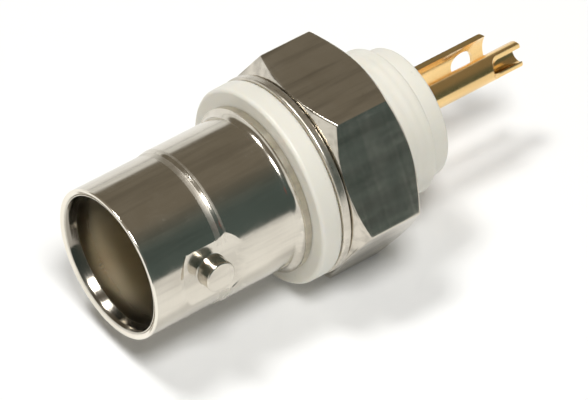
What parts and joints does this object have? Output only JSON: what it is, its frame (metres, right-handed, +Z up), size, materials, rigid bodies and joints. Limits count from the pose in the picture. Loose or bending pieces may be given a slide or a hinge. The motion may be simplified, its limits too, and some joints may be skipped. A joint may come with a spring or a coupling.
{
  "type": "bnc connector",
  "caption": "Insulated panel jack with a bayonet mouth, a coaxial socket, a hex nut and washer on a plastic bush, and a solder cup and a curved ground tab at the rear.",
  "frame": {"origin": "on the connector's axis, in the rear face of the bush's flange, where the panel seats", "axes": "+X along the axis from the mouth to the solder terminals, +Z up with one flat of the nut facing -Z"},
  "size_m": [0.0307, 0.0146, 0.0128],
  "materials": {
    "shell_nickel": "polished nickel plate on brass",
    "dielectric": "smooth white fluoroplastic",
    "rear_dielectric": "smooth white fluoroplastic",
    "contact_gold": "gold plate on brass",
    "terminal_gold": "gold plate on stamped brass",
    "bush_plastic": "moulded cream plastic with a soft sheen",
    "washer_nickel": "stamped, nickel plated",
    "nut_nickel": "satin nickel plate over milled flats"
  },
  "bodies": {
    "connector": {"shell": "shell_nickel", "front_dielectric": "dielectric", "rear_insulator": "rear_dielectric", "centre_contact": "contact_gold", "ground_terminal": "terminal_gold", "insulating_bush": "bush_plastic"},
    "washer": {"washer": "washer_nickel"},
    "nut": {"hex_nut": "nut_nickel"}
  },
  "joints": [
    {"name": "washer_slide", "type": "slide", "parent": "connector", "child": "washer", "axis": [1, 0, 0], "range_m": [0, 0.00635]},
    {"name": "nut_turn", "type": "hinge", "parent": "washer", "child": "nut", "pos_m": [0.0031, 0, 0], "axis": [1, 0, 0], "range_deg": [0, 2880]}
  ],
  "couplings": [
    {"joint": "washer_slide", "follows": "nut_turn", "m_per_rad": 0.0001263}
  ]
}
